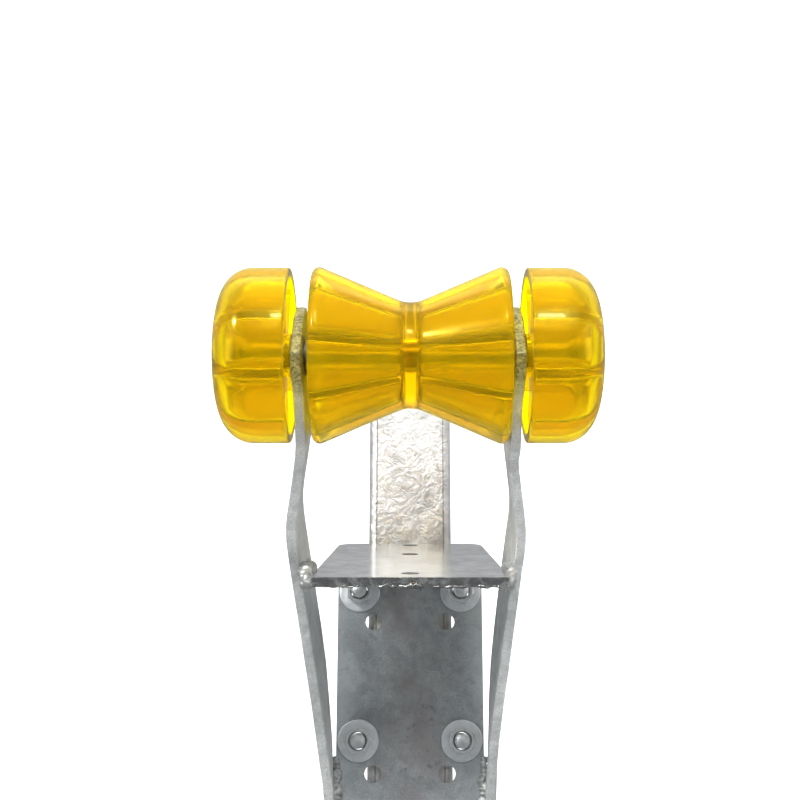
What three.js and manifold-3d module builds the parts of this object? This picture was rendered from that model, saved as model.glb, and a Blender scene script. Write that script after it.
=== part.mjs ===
// Bow roller head for a boat trailer's winch post: a V spool roller and two end
// bells on one axle, carried by two joggled flat-bar arms with a level winch
// shelf between them. A mount plate behind is clamped to a square post by two
// U-bolts. Millimetres, +X to the right, +Y toward the post, -Y toward the boat,
// +Z up. Pieces are laid out from the middle of the axle; the finished origin is
// on the winch shelf's top face.
import * as THREE from "three";
import { mergeVertices } from "three/addons/utils/BufferGeometryUtils.js";
import Module from "manifold-3d";

const wasm = await Module();
wasm.setup();
const { Manifold, Mesh } = wasm;
const { degToRad } = THREE.MathUtils;

// ---- shared dimensions ----------------------------------------------------
const GAP = 0.35; // clearance left between pieces that touch
const SIDES = { left: -1, right: 1 }; // sign of x

const BORE_R = 6.75; // axle hole in rollers, rings and arms
const SPOOL_HALF = 50.8; // four inch spool
const SPOOL_X = 0.3; // its end play is taken up to the right

const BELL_IN = 62.0; // x of the open rim of the left end bell
const BELL_SHIFT = { left: 0, right: 1.75 }; // how much nearer the middle a bell sits
const RECESS_X = 92.8; // floor of the recess in the bell's outer end

const ARM_T = 5.5; // flat bar thickness
const ARM_NEAR = { left: 53.95, right: 52.5 }; // inner face beside the inner spacers
const ARM_FAR = { left: 54.9, right: 53.2 }; // inner face above the axle

const SHELF_Z = -114.0; // top face
const SHELF_T = 5.0;
const ORIGIN_Y = 45.0; // finished origin, behind the axle

const LEAN = degToRad(15.0); // the post and the plate lean away from the boat
const PLATE_MIDDLE = [0, 112.5, -185.25]; // middle of the bolt pattern, front face
const PLATE_T = 5.0;
const PLATE_BOTTOM = 92.0; // below the middle of the bolt pattern
const BOLT_X = 62.0 / 2; // half the distance between a U-bolt's legs
const BOLT_ROW = 44.3; // half the distance between the U-bolt rows
const BOLT_ROWS = { upper: BOLT_ROW, lower: -BOLT_ROW };
const ROD_HOLE_R = 5.15;

const POST_W = 51.6; // two inch square tube and its zinc
const POST_FRONT = -PLATE_T - GAP; // in the plate's frame

// ---- materials ------------------------------------------------------------
const material = (settings) => new THREE.MeshStandardMaterial(settings);
const amber = () => material({ color: 0xdfb100, roughness: 0.3, metalness: 0.0 });
const galvanised = () => material({ color: 0x9ba2a3, roughness: 0.55, metalness: 0.85 });
const darkGalvanised = () => material({ color: 0x7c848a, roughness: 0.6, metalness: 0.8 });
const paleGalvanised = () => material({ color: 0xb9bcb9, roughness: 0.62, metalness: 0.75 });
const zinc = () => material({ color: 0xb4b8b8, roughness: 0.35, metalness: 0.9 });

// ---- frames ---------------------------------------------------------------
const vec = (x, y, z) => new THREE.Vector3(x, y, z);
const frame = (u, v, w, origin = vec(0, 0, 0)) =>
  new THREE.Matrix4().makeBasis(u, v, w).setPosition(origin);

const X_AXIS = vec(1, 0, 0);
const ACROSS_AXLE = frame(vec(0, 1, 0), vec(0, 0, 1), X_AXIS); // extrudes along X

// plate: u along X, v up the plate, w out of its front face
const PLATE_OUT = vec(0, -Math.cos(LEAN), Math.sin(LEAN));
const PLATE_UP = vec(0, Math.sin(LEAN), Math.cos(LEAN));
const PLATE = frame(X_AXIS, PLATE_UP, PLATE_OUT, vec(...PLATE_MIDDLE));

// ---- geometry helpers -----------------------------------------------------
// unindexed triangles, turned to face outward
function facingOut(geometry) {
  const result = geometry.index ? geometry.toNonIndexed() : geometry;
  const position = result.attributes.position;
  const [a, b, c] = [vec(0, 0, 0), vec(0, 0, 0), vec(0, 0, 0)];
  const readTriangle = (i) =>
    [a, b, c].forEach((corner, k) => corner.fromBufferAttribute(position, i + k));

  let volume = 0;
  for (let i = 0; i < position.count; i += 3) {
    readTriangle(i);
    volume += a.dot(b.clone().cross(c));
  }
  if (volume >= 0) return result;
  for (let i = 0; i < position.count; i += 3) {
    readTriangle(i);
    position.setXYZ(i + 1, c.x, c.y, c.z);
    position.setXYZ(i + 2, b.x, b.y, b.z);
  }
  return result;
}

// a Manifold from a three.js geometry, which loses its normals and uvs
function solid(geometry) {
  geometry.deleteAttribute("normal");
  geometry.deleteAttribute("uv");
  const welded = mergeVertices(geometry, 1e-4);
  const index = welded.index.array;
  const triangles = [];
  for (let i = 0; i < index.length; i += 3) {
    const [a, b, c] = [index[i], index[i + 1], index[i + 2]];
    if (a !== b && b !== c && c !== a) triangles.push(a, b, c);
  }
  return new Manifold(
    new Mesh({
      numProp: 3,
      vertProperties: welded.attributes.position.array,
      triVerts: new Uint32Array(triangles),
    }),
  );
}

function geometryOf(manifold) {
  const mesh = manifold.getMesh();
  const geometry = new THREE.BufferGeometry();
  const positions = new Float32Array(mesh.vertProperties);
  geometry.setAttribute("position", new THREE.BufferAttribute(positions, 3));
  geometry.setIndex(new THREE.BufferAttribute(new Uint32Array(mesh.triVerts), 1));
  geometry.computeVertexNormals();
  return geometry;
}

const shapeOf = (points) => new THREE.Shape(points.map(([u, v]) => new THREE.Vector2(u, v)));

// an outline of [u, v] points extruded from w0 to w1 in the given frame
function prism(points, w0, w1, matrix = null, holes = []) {
  const shape = shapeOf(points);
  for (const hole of holes) shape.holes.push(shapeOf(hole));
  const geometry = new THREE.ExtrudeGeometry(shape, { depth: w1 - w0, bevelEnabled: false });
  geometry.translate(0, 0, w0);
  if (matrix) geometry.applyMatrix4(matrix);
  return facingOut(geometry);
}

function circle(radius, count, [u, v] = [0, 0], phase = 0) {
  return Array.from({ length: count }, (_, i) => {
    const angle = phase + (i / count) * 2 * Math.PI;
    return [u + radius * Math.cos(angle), v + radius * Math.sin(angle)];
  });
}

// a round bar along X on the axle's line, drilled through if it has a hole radius
function axleBar(radius, x0, x1, holeR = 0) {
  const section = (r) => circle(r, 24, [0, 0], Math.PI / 24);
  return prism(section(radius), x0, x1, ACROSS_AXLE, holeR ? [section(holeR)] : []);
}

// corners are [u, v, radius, pieces in the arc], anticlockwise
function roundedOutline(corners) {
  const count = corners.length;
  return corners.flatMap(([u, v, radius, pieces], i) => {
    const corner = new THREE.Vector2(u, v);
    const toward = ([u2, v2]) => new THREE.Vector2(u2, v2).sub(corner).normalize();
    const back = toward(corners[(i + count - 1) % count]);
    const ahead = toward(corners[(i + 1) % count]);
    const half = Math.acos(back.dot(ahead)) / 2;
    const inward = back.clone().add(ahead).normalize();
    const centre = corner.clone().addScaledVector(inward, radius / Math.sin(half));
    const angleTo = (direction) => {
      const tangent = corner.clone().addScaledVector(direction, radius / Math.tan(half));
      return Math.atan2(tangent.y - centre.y, tangent.x - centre.x);
    };
    const start = angleTo(back);
    let end = angleTo(ahead);
    if (end < start) end += 2 * Math.PI;
    return Array.from({ length: pieces + 1 }, (_, j) => {
      const angle = start + ((end - start) * j) / pieces;
      return [centre.x + radius * Math.cos(angle), centre.y + radius * Math.sin(angle)];
    });
  });
}

const group = new THREE.Group();
group.name = "bow_roller";

// moves a piece from the axle's datum to the shelf's and puts it in the group
function add(name, geometry, pieceMaterial) {
  geometry.translate(0, -ORIGIN_Y, -SHELF_Z);
  const mesh = new THREE.Mesh(geometry, pieceMaterial);
  mesh.name = name;
  group.add(mesh);
}

// ---- rollers --------------------------------------------------------------
const ROLLER_SEGMENTS = 48;
const WALL = 4.6;
const HUB_R = 11.5;
const RIB_T = 3.0;
const RIBS = 8;
const RIB_ROOT_R = HUB_R - 1; // ribs start inside the hub

const SPOOL_RIM_R = 46.0;
const SPOOL_WAIST_R = 27.1;
const SPOOL_WEB = 8.0; // solid web at the middle of the spool
const SPOOL_RIB_ANGLE = 12.8; // degrees above the horizontal, toward the boat
// ends of the straight cone between waist and rim, [x, radius]
const CONE_START = [7.2, SPOOL_WAIST_R + 1.9];
const CONE_END = [46.4, SPOOL_RIM_R - 0.35];

const BELL_R = 45.7;
const BELL_RIB_ANGLE = 30.0; // degrees above the horizontal, toward the boat
const RECESS_R = 16.0;

// a closed ring of [x, radius] points turned about the axle
function ring(profile) {
  const points = [...profile, profile[0]].map(([x, r]) => new THREE.Vector2(r, x));
  const geometry = new THREE.LatheGeometry(points, ROLLER_SEGMENTS);
  // the lathe's axis is Y: turn it onto X
  geometry.applyMatrix4(frame(vec(0, 1, 0), vec(1, 0, 0), vec(0, 0, -1)));
  return solid(facingOut(geometry));
}

// radial ribs from x0 to x1, the first at an angle above the boat's side
function ribs(x0, x1, outerR, angle) {
  const outline = [[x0, RIB_ROOT_R], [x1, RIB_ROOT_R], [x1, outerR], [x0, outerR]];
  return Array.from({ length: RIBS }, (_, i) => {
    const turn = degToRad(180 - angle) + (i / RIBS) * 2 * Math.PI;
    const out = vec(0, Math.cos(turn), Math.sin(turn));
    const across = vec(0, -Math.sin(turn), Math.cos(turn));
    return solid(prism(outline, -RIB_T / 2, RIB_T / 2, frame(X_AXIS, out, across)));
  }).reduce((all, rib) => all.add(rib));
}

function spool() {
  // right half of the skin, from the waist to the rim's end
  const half = [
    [0, SPOOL_WAIST_R], [3.4, SPOOL_WAIST_R + 0.45], CONE_START, CONE_END,
    [48.9, SPOOL_RIM_R - 0.75], [50.2, SPOOL_RIM_R - 2.0], [SPOOL_HALF, SPOOL_RIM_R - 4.0],
  ];
  const mirrored = half.slice(1).reverse().map(([x, r]) => [-x, r]);
  const body = ring([[-SPOOL_HALF, BORE_R], ...mirrored, ...half, [SPOOL_HALF, BORE_R]]);

  const slope = (CONE_END[1] - CONE_START[1]) / (CONE_END[0] - CONE_START[0]);
  const innerR = (x) => CONE_START[1] + (x - CONE_START[0]) * slope - WALL;
  const webFace = SPOOL_WEB / 2;
  const mouth = SPOOL_HALF + 2; // the pocket is cut from beyond the end
  const hollow = ring([
    [webFace, HUB_R], [mouth, HUB_R], [mouth, innerR(SPOOL_HALF) - 2.2],
    [45, innerR(45)], [webFace, innerR(webFace)],
  ]);
  const pocket = hollow.subtract(
    ribs(webFace - 1, SPOOL_HALF - 1.5, SPOOL_RIM_R + 2, SPOOL_RIB_ANGLE),
  );
  return body.subtract(pocket).subtract(pocket.mirror([1, 0, 0]));
}

// a right-hand end bell, open toward the middle, at the left bell's distance
function bell() {
  const body = ring([
    [BELL_IN, BORE_R], [BELL_IN, HUB_R], [BELL_IN, BELL_R - 1.2], [BELL_IN + 1.2, BELL_R],
    [81.7, BELL_R], [86.2, 44.9], [90.1, 42.9], [94.1, 39.2], [96.8, 35.0], [98.9, 28.8],
    [100.3, 19.5], [100.5, RECESS_R], [RECESS_X, RECESS_R - 0.4], [RECESS_X, BORE_R],
  ]);
  const mouth = BELL_IN - 2; // the pocket is cut from beyond the rim
  const hollow = ring([
    [mouth, HUB_R], [mouth, BELL_R - WALL], [81.2, BELL_R - WALL - 0.6], [87.7, 37.0],
    [91.7, 29.0], [92.4, 21.5], [87.6, 20.0], [87.6, HUB_R],
  ]);
  return body.subtract(hollow.subtract(ribs(BELL_IN + 2.0, 97.2, BELL_R - 2, BELL_RIB_ANGLE)));
}

add("spool_roller", geometryOf(spool().translate([SPOOL_X, 0, 0])), amber());
const endBell = bell();
add("right_end_bell", geometryOf(endBell.translate([-BELL_SHIFT.right, 0, 0])), amber());
add("left_end_bell", geometryOf(endBell.mirror([1, 0, 0])), amber());

// ---- axle and its loose rings ---------------------------------------------
const AXLE_R = 6.35; // half inch axle
const AXLE_HALF = 98.8; // to the left end
const SPACER_R = 11.0;
const AXLE_WASHER_R = 13.5;
const AXLE_WASHER_T = 1.6;
const PUSH_NUT_R = 10.5;
const PUSH_NUT_T = 2.6;

add("axle", axleBar(AXLE_R, -AXLE_HALF, AXLE_HALF - BELL_SHIFT.right), zinc());

for (const [side, sign] of Object.entries(SIDES)) {
  // from and to are distances out from the middle
  const addCollar = (name, radius, from, to) => {
    const [x0, x1] = sign > 0 ? [from, to] : [-to, -from];
    add(`${side}_${name}`, axleBar(radius, x0, x1, BORE_R), zinc());
  };
  const spoolEnd = SPOOL_HALF + sign * SPOOL_X;
  const armOuter = ARM_FAR[side] + ARM_T;
  const bellRim = BELL_IN - BELL_SHIFT[side];
  const washerIn = RECESS_X - BELL_SHIFT[side] + GAP;
  const nutIn = washerIn + AXLE_WASHER_T + GAP;
  addCollar("inner_spacer", SPACER_R, spoolEnd + GAP, ARM_NEAR[side] - GAP);
  addCollar("outer_spacer", SPACER_R, armOuter + GAP, bellRim - GAP);
  addCollar("axle_washer", AXLE_WASHER_R, washerIn, washerIn + AXLE_WASHER_T);
  addCollar("push_nut", PUSH_NUT_R, nutIn, nutIn + PUSH_NUT_T);
}

// ---- arms -----------------------------------------------------------------
const ARM_HALF_W = 50.8 / 2; // half the flat bar's depth
const ARM_LEAN = degToRad(17.6); // the arms lean toward the boat
const ARM_TOP = 20.5; // bar end above the axle
const ARM_END = 322; // bar end below the axle, before it is trimmed at the plate
const ARM_CLIP_W = 28.0; // clipped front corner, across the bar
const ARM_CLIP_L = 11.5; // and along it
const ARM_REAR_CLIP = 2.5; // small clip on the rear top corner
const ARM_PAST_BACK = 2.2; // reach behind the plate's back face
const ARM_PAST_BOTTOM = 1.5; // reach below the plate's bottom edge
// Oversize extents of the cutting blocks
const CUT_X = 90;
const CUT_V = [-260, 120];
const CUT_W = 160;

const ARM_DOWN = vec(0, Math.sin(ARM_LEAN), -Math.cos(ARM_LEAN)); // down the bar
const ARM_BACK = vec(0, Math.cos(ARM_LEAN), Math.sin(ARM_LEAN)); // toward the post

// [distance along the bar below the axle, x of the inner face at mid depth,
// how far the bar's front edge toes in]; the bars are bent by hand and differ
const ARM_TRACE = {
  left: [
    [-25.4, ARM_FAR.left, 0], [2.0, ARM_FAR.left, 0], [8.0, 54.2, 0], [14.0, 53.7, 0],
    [24.0, 53.5, 0], [33.0, 53.3, 0], [41.0, 53.3, 0], [46.0, 53.6, 0], [51.0, 54.2, 0],
    [61.0, 55.65, 0], [71.0, 57.3, 0], [80.0, 58.8, 0], [86.0, 59.5, 0], [91.0, 59.65, 0],
    [97.0, 59.4, 0], [107.0, 58.4, 0], [127.0, 56.0, 0], [149.0, 53.4, 0], [171.0, 51.0, 0],
    [193.0, 48.7, 0.2], [215.0, 47.0, 0.7], [230.0, 45.9, 1.1], [243.0, 44.9, 1.5],
    [252.0, 44.6, 1.7], [330.0, 44.6, 1.7],
  ],
  right: [
    [-25.4, ARM_FAR.right, 0], [-2.0, ARM_FAR.right, 0], [3.0, 52.9, 0],
    [11.0, ARM_NEAR.right, 0], [16.0, 51.8, 0], [24.0, 51.45, 0], [42.5, 51.45, 0],
    [46.0, 51.05, 0], [49.0, 50.6, 0], [53.0, 50.75, 0], [58.0, 51.4, 0], [66.0, 52.5, 0],
    [76.0, 53.8, 0], [84.0, 54.9, 0], [89.0, 55.35, 0], [95.0, 55.45, 0], [101.0, 55.0, 0],
    [111.0, 53.9, 0], [127.0, 52.3, 0], [149.0, 50.3, 0], [171.0, 48.3, 0.2],
    [193.0, 46.4, 0.6], [215.0, 45.2, 1.3], [230.0, 44.75, 1.8], [243.0, 44.6, 2.3],
    [252.0, 44.6, 2.5], [330.0, 44.6, 2.5],
  ],
};

// the bent bar, square at its ends
function bentBar(trace, sign) {
  const inner = trace.map(([along, x]) => [sign * x, along]);
  const outer = trace.map(([along, x], i) => {
    const before = trace[Math.max(0, i - 1)];
    const after = trace[Math.min(trace.length - 1, i + 1)];
    const slope = (after[1] - before[1]) / (after[0] - before[0]);
    return [sign * (x + ARM_T * Math.sqrt(1 + slope * slope)), along];
  });
  const bar = prism([...inner, ...outer.reverse()], -ARM_HALF_W, ARM_HALF_W);

  // here x, y, z are x, distance down the bar and depth: toe in each section
  const position = bar.attributes.position;
  for (let i = 0; i < position.count; i++) {
    const offset = (station) => Math.abs(station[0] - position.getY(i));
    const [, , toe] = trace.reduce((best, next) => (offset(next) < offset(best) ? next : best));
    position.setX(i, position.getX(i) + (sign * toe * position.getZ(i)) / ARM_HALF_W);
  }
  bar.applyMatrix4(frame(X_AXIS, ARM_DOWN, ARM_BACK));
  return solid(bar);
}

// the arm's outline seen from the side, as a block right across the head
function armSideBlock() {
  const outline = [
    [-ARM_TOP, ARM_HALF_W - ARM_REAR_CLIP], [-ARM_TOP, -ARM_HALF_W + ARM_CLIP_W],
    [-ARM_TOP + ARM_CLIP_L, -ARM_HALF_W], [ARM_END, -ARM_HALF_W],
    [ARM_END, ARM_HALF_W], [-ARM_TOP + ARM_REAR_CLIP, ARM_HALF_W],
  ];
  return solid(prism(outline, -CUT_X, CUT_X, frame(ARM_DOWN, ARM_BACK, X_AXIS)));
}

// a cutting block in the plate's frame, up to a height on the plate
function plateCutter(top, w0, w1) {
  const bottom = CUT_V[0];
  const outline = [[-CUT_X, bottom], [CUT_X, bottom], [CUT_X, top], [-CUT_X, top]];
  return solid(prism(outline, w0, w1, PLATE));
}

function arm(side) {
  return bentBar(ARM_TRACE[side], SIDES[side])
    .intersect(armSideBlock())
    .subtract(plateCutter(CUT_V[1], -CUT_W, -PLATE_T - ARM_PAST_BACK))
    .subtract(plateCutter(-PLATE_BOTTOM - ARM_PAST_BOTTOM, -CUT_W, CUT_W))
    .subtract(solid(axleBar(BORE_R, -CUT_X, CUT_X)));
}

for (const side of Object.keys(SIDES)) add(`${side}_arm`, geometryOf(arm(side)), galvanised());

// ---- winch shelf and its welds --------------------------------------------
const SHELF_FRONT = -10.5; // y
const SHELF_REAR = 135.0;
const SHELF_HALF_FRONT = 51.6; // half width
const SHELF_HALF_REAR = 43.6;
const SHELF_HOLE_R = 4.7;
const SHELF_HOLES = [4.5, 83.0, 126.0]; // y

const WELD_FRONT = 11; // y
const WELD_REAR = 25;
const WELD_REACH = { left: 56.1, right: 52.35 }; // outermost distance from the middle
const WELD_CLIP = { x: 0.6, y: 2 }; // clip off the outer rear corner
const WELD_GAP = GAP + 0.05;
const WELD_BELOW = 1.5; // past the shelf's lower face
const WELD_ABOVE = 2.0; // past its top face

function winchShelf() {
  const outline = roundedOutline([
    [-SHELF_HALF_FRONT, SHELF_FRONT, 1.5, 2], [SHELF_HALF_FRONT, SHELF_FRONT, 1.5, 2],
    [SHELF_HALF_REAR, SHELF_REAR, 10, 5], [-SHELF_HALF_REAR, SHELF_REAR, 10, 5],
  ]);
  const holes = SHELF_HOLES.map((y) => circle(SHELF_HOLE_R, 20, [0, y]));
  return prism(outline, SHELF_Z - SHELF_T, SHELF_Z, null, holes);
}

// weld between the shelf's side and an arm's front corner
function shelfWeld(side) {
  const sign = SIDES[side];
  const reach = WELD_REACH[side];
  const taper = (SHELF_HALF_FRONT - SHELF_HALF_REAR) / (SHELF_REAR - SHELF_FRONT);
  const edge = (y) => SHELF_HALF_FRONT - taper * (y - SHELF_FRONT) + WELD_GAP;
  const outline = [
    [edge(WELD_FRONT), WELD_FRONT], [reach, WELD_FRONT], [reach, WELD_REAR - WELD_CLIP.y],
    [reach - WELD_CLIP.x, WELD_REAR], [edge(WELD_REAR), WELD_REAR],
  ].map(([x, y]) => [sign * x, y]);
  return prism(outline, SHELF_Z - SHELF_T - WELD_BELOW, SHELF_Z + WELD_ABOVE);
}

add("winch_shelf", winchShelf(), paleGalvanised());
for (const side of Object.keys(SIDES)) add(`${side}_shelf_weld`, shelfWeld(side), galvanised());

// ---- mount plate ----------------------------------------------------------
const PLATE_HALF_W = 88.4 / 2;
const PLATE_TOP = 67.8; // above the middle of the bolt pattern
const SPARE_X = 44.5 / 2; // spare holes, nearer the middle than the bolts
const SPARE_ROWS = [BOLT_ROW - 18.1, -BOLT_ROW - 19.1];
const SPARE_R = 5.1;

function mountPlate() {
  const outline = roundedOutline([
    [-PLATE_HALF_W, -PLATE_BOTTOM, 2, 2], [PLATE_HALF_W, -PLATE_BOTTOM, 2, 2],
    [PLATE_HALF_W, PLATE_TOP, 2, 2], [-PLATE_HALF_W, PLATE_TOP, 2, 2],
  ]);
  const pattern = (halfWidth, rows) =>
    [-halfWidth, halfWidth].flatMap((x) => rows.map((row) => [x, row]));
  const holes = [
    ...pattern(BOLT_X, Object.values(BOLT_ROWS)).map((at) =>
      circle(ROD_HOLE_R, 16, at, Math.PI / 16),
    ),
    ...pattern(SPARE_X, SPARE_ROWS).map((at) => circle(SPARE_R, 16, at)),
  ];
  return prism(outline, -PLATE_T, 0, PLATE, holes);
}
add("mount_plate", mountPlate(), darkGalvanised());

// ---- post -----------------------------------------------------------------
const POST_WALL = 3.2;
const POST_CORNER = 5.0;
const POST_BORE_CORNER = POST_CORNER - POST_WALL + 0.4;
const POST_TOP = 190.0; // above the middle of the bolt pattern
const POST_BOTTOM = 158.0; // below it

function winchPost() {
  // u along X, v out toward the boat, w down the post
  const across = frame(X_AXIS, PLATE_OUT, PLATE_UP.clone().negate(), vec(...PLATE_MIDDLE));
  const middle = POST_FRONT - POST_W / 2;
  const square = (half, radius) =>
    roundedOutline([
      [-half, middle - half, radius, 4], [half, middle - half, radius, 4],
      [half, middle + half, radius, 4], [-half, middle + half, radius, 4],
    ]);
  const bore = square(POST_W / 2 - POST_WALL, POST_BORE_CORNER);
  return prism(square(POST_W / 2, POST_CORNER), -POST_TOP, POST_BOTTOM, across, [bore]);
}
add("winch_post", winchPost(), paleGalvanised());

// ---- U-bolts, washers and nuts --------------------------------------------
const ROD_R = 4.7; // three eighths U-bolt
const ROD_BEND = 9.5; // centreline radius
const BEND_STEPS = 5;
const STUD = 15.0; // rod end in front of the plate
const WASHER_R = 12.5;
const WASHER_T = 1.6;
const NUT_AF = 14.3; // across flats
const NUT_T = 8.0;
const NUT_TURN = 0.2; // radians

// a path that visits exactly the given stations, each { point, tangent }
class RodPath extends THREE.Curve {
  constructor(stations) {
    super();
    this.stations = stations;
  }
  stationAt(u) {
    return this.stations[Math.round(u * (this.stations.length - 1))];
  }
  getPointAt(u, target = vec(0, 0, 0)) {
    return target.copy(this.stationAt(u).point);
  }
  getTangentAt(u, target = vec(0, 0, 0)) {
    return target.copy(this.stationAt(u).tangent);
  }
}

function ubolt(row) {
  const back = POST_FRONT - POST_W - GAP - ROD_R; // centreline behind the post
  const leftHalf = [{ point: vec(-BOLT_X, row, STUD), tangent: vec(0, 0, -1) }];
  for (let i = 0; i <= BEND_STEPS; i++) {
    const turn = (i / BEND_STEPS) * (Math.PI / 2);
    const [sin, cos] = [Math.sin(turn), Math.cos(turn)];
    leftHalf.push({
      point: vec(-BOLT_X + ROD_BEND * (1 - cos), row, back + ROD_BEND * (1 - sin)),
      tangent: vec(sin, 0, -cos),
    });
  }
  const rightHalf = leftHalf.toReversed().map(({ point, tangent }) => ({
    point: vec(-point.x, point.y, point.z),
    tangent: vec(tangent.x, tangent.y, -tangent.z),
  }));
  const stations = [...leftHalf, ...rightHalf];
  const geometry = new THREE.ExtrudeGeometry(shapeOf(circle(ROD_R, 12)), {
    steps: stations.length - 1,
    extrudePath: new RodPath(stations),
    bevelEnabled: false,
  });
  geometry.applyMatrix4(PLATE);
  return facingOut(geometry);
}

for (const [name, row] of Object.entries(BOLT_ROWS)) add(`${name}_ubolt`, ubolt(row), zinc());

for (const [rowName, row] of Object.entries(BOLT_ROWS))
  for (const [side, sign] of Object.entries(SIDES)) {
    const at = [sign * BOLT_X, row];
    const hole = circle(ROD_HOLE_R, 16, at);
    const hexagon = circle(NUT_AF / Math.sqrt(3), 6, at, NUT_TURN);
    const nutBack = 2 * GAP + WASHER_T;
    const washer = prism(circle(WASHER_R, 24, at), GAP, GAP + WASHER_T, PLATE, [hole]);
    add(`${rowName}_${side}_washer`, washer, zinc());
    add(`${rowName}_${side}_nut`, prism(hexagon, nutBack, nutBack + NUT_T, PLATE, [hole]), zinc());
  }

export default group;
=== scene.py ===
"""A boat roller on a winch-post bracket: an amber spool between two end bells on one axle.

The axle lies along X.  +Z is up, -Y is the front (toward the boat and the camera), and left is
-X.  Shapes are worked out in millimetres about the axle's middle; TO_FRAME then moves them to
their place in metres.  Materials, lights, floor and camera are in metres.
"""

import math

import bmesh
import bpy
import numpy as np
from mathutils import Matrix, Vector, noise


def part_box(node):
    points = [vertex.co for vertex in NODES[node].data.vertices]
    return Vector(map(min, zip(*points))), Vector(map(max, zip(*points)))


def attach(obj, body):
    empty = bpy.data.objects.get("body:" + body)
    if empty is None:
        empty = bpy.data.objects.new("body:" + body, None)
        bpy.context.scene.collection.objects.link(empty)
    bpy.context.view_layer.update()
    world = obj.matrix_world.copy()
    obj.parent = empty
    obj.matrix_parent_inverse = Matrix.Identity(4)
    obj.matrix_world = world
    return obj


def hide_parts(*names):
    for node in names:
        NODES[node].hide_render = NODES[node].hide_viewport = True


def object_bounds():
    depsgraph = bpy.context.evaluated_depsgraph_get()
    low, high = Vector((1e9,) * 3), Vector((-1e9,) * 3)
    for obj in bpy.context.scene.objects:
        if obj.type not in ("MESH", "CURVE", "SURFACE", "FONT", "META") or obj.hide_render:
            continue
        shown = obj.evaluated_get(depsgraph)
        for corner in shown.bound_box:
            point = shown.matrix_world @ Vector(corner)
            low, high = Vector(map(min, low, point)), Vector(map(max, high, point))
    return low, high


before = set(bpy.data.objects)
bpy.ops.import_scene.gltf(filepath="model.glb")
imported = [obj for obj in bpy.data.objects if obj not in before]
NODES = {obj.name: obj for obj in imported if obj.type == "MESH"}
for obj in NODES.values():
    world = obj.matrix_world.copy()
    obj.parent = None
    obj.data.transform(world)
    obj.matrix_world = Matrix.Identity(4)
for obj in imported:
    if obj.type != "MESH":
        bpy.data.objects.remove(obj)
CAD_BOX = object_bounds()
SCENE = bpy.context.scene

# ---------------------------------------------------------------------------
# Places read from the frame
# ---------------------------------------------------------------------------
axle_low, axle_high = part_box("axle")
AXLE = (axle_low + axle_high) / 2
AXLE.x = 0.0
TO_FRAME = Matrix.Translation(AXLE) @ Matrix.Scale(0.001, 4)
AXLE_LEFT, AXLE_RIGHT = axle_low.x * 1000, axle_high.x * 1000
spool_low, spool_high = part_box("spool_roller")
SPOOL_HALF = (spool_high.x - spool_low.x) * 1000 / 2
SPOOL_X = (spool_high.x + spool_low.x) * 1000 / 2
# distance of each bell's open mouth from the middle, by side
BELL_MOUTH_AT = {
    1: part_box("right_end_bell")[0].x * 1000,
    -1: -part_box("left_end_bell")[1].x * 1000,
}
SHELF_FRONT_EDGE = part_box("winch_shelf")[0].y  # metres
SIDES = ((-1, "left"), (1, "right"))

# ---------------------------------------------------------------------------
# Sizes shared between parts, in millimetres
# ---------------------------------------------------------------------------
AXLE_RADIUS = 6.35
BORE_RADIUS = 6.75
HUB_RADIUS = 11.5

# The mount plate's own axes: x across, y up the plate, z out of its front face.
PLATE_LEAN = math.radians(15.0)
LEAN_SIN, LEAN_COS = math.sin(PLATE_LEAN), math.cos(PLATE_LEAN)
PLATE = Matrix((
    (1, 0, 0, 0),
    (0, LEAN_SIN, -LEAN_COS, 112.5),
    (0, LEAN_COS, LEAN_SIN, -185.25),
    (0, 0, 0, 1),
))
BOLT_X = 62.0 / 2  # U-bolt leg from the middle
BOLT_ROW = 44.3  # each bolt row from the plate's origin
ROWS = (("upper", BOLT_ROW), ("lower", -BOLT_ROW))

SHELF_TOP = -114.0
SHELF_FRONT = -10.5


# ---------------------------------------------------------------------------
# Mesh helpers.  A shape is a pair: vertices, faces.
# ---------------------------------------------------------------------------
def add_object(name, data):
    obj = bpy.data.objects.new(name, data)
    SCENE.collection.objects.link(obj)
    return obj


def smooth_all(mesh):
    for polygon in mesh.polygons:
        polygon.use_smooth = True


def make(name, shape, body=None, material=None, local=None, angle=None):
    """A smooth object from a shape in millimetres; edges steeper than angle stay sharp."""
    verts, faces = shape
    mesh = bpy.data.meshes.new(name)
    mesh.from_pydata([tuple(v) for v in verts], [], [tuple(f) for f in faces])
    if local is not None:
        mesh.transform(local)
    mesh.transform(TO_FRAME)
    mesh.validate()
    bm = bmesh.new()
    bm.from_mesh(mesh)
    bmesh.ops.remove_doubles(bm, verts=bm.verts, dist=1e-7)
    bmesh.ops.recalc_face_normals(bm, faces=bm.faces)
    bm.to_mesh(mesh)
    bm.free()
    obj = add_object(name, mesh)
    smooth_all(mesh)
    if angle is not None:
        mesh.set_sharp_from_angle(angle=math.radians(angle))
    if material is not None:
        mesh.materials.append(material)
    if body is not None:
        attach(obj, body)
    return obj


def make_hardware(name, node, shape, material, angle, local=None):
    """A zinc part of the bracket that takes the place of a CAD node."""
    obj = make(name, shape, "bracket", material, local=local, angle=angle)
    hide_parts(node)


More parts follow.
